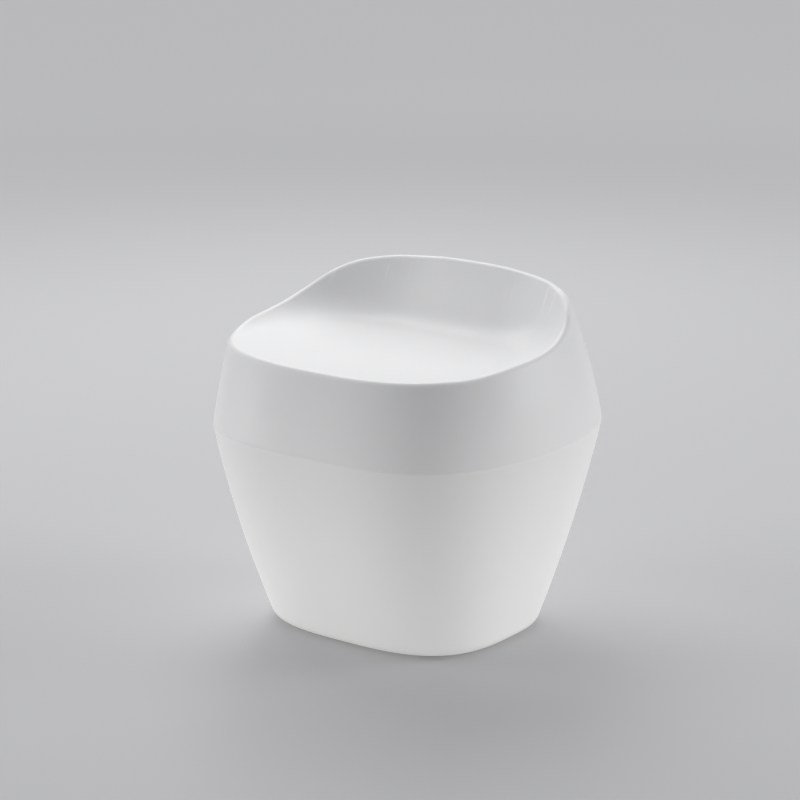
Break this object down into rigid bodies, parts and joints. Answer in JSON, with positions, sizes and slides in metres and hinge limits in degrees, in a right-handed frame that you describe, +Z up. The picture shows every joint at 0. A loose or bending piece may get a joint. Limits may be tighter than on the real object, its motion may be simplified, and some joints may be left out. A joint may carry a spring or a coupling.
{
  "type": "plastic stool",
  "caption": "Hollow moulded light-up stool: narrow rounded-square base, walls flaring to a crease, dished seat with a low back lip, battery lamp unit under the base.",
  "frame": {"origin": "on the floor, below the middle of the stool's widest outline", "axes": "+Z up, front of the seat towards -Y, raised back lip towards +Y, the sitter's left at +X"},
  "size_m": [0.4996, 0.4761, 0.4821],
  "materials": {
    "shell_plastic": "satin white moulded polyethylene, slightly see-through",
    "housing_plastic": "satin white injection-moulded plastic",
    "pad_rubber": "matt",
    "seal_rubber": "matt",
    "brass": "machined",
    "screw_steel": "plain bright",
    "button_steel": "satin",
    "plate_aluminium": "mill finish",
    "white_board": "white solder mask",
    "green_board": "green solder mask",
    "component_resin": "moulded black resin",
    "lamp_resin": "clear resin over phosphor",
    "dome_plastic": "opal polycarbonate",
    "cell_sleeve": "shrink sleeve",
    "nickel_strip": "plain nickel",
    "black_plastic": "fine spark texture",
    "cap_plastic": "satin grey"
  },
  "bodies": {
    "stool": {"body_shell": "shell_plastic", "shell_inserts": "brass", "foot_pads": "pad_rubber", "housing_gasket": "seal_rubber", "lamp_housing": "housing_plastic", "housing_screws": "screw_steel", "plate_seal": "seal_rubber", "heat_plate": "plate_aluminium", "led_board": "white_board", "led_emitters": "lamp_resin", "diffuser_dome": "dome_plastic", "dome_screws": "screw_steel", "battery_tray": "black_plastic", "battery_cells": "cell_sleeve", "cell_links": "nickel_strip", "battery_strap": "screw_steel", "strap_screws": "screw_steel", "control_board": "green_board", "board_components": "component_resin", "board_screws": "screw_steel", "button_bezel": "button_steel", "button_seal": "seal_rubber", "button_nut": "button_steel", "button_switch": "black_plastic", "charge_jack": "black_plastic", "jack_contact": "brass", "jack_seal": "seal_rubber", "jack_nut": "screw_steel", "jack_hinge_pin": "screw_steel"},
    "button": {"power_button": "cap_plastic"},
    "socket_cover": {"jack_cover": "cap_plastic"}
  },
  "joints": [
    {"name": "button_press", "type": "slide", "parent": "stool", "child": "button", "axis": [0, 0, 1], "range_m": [0, 0.0015], "stiffness_N_per_m": 1500, "springref_m": -0.0007},
    {"name": "cover_hinge", "type": "hinge", "parent": "stool", "child": "socket_cover", "pos_m": [0.024, -0.0375, 0.0234], "axis": [1, 0, 0], "range_deg": [0, 110]}
  ]
}
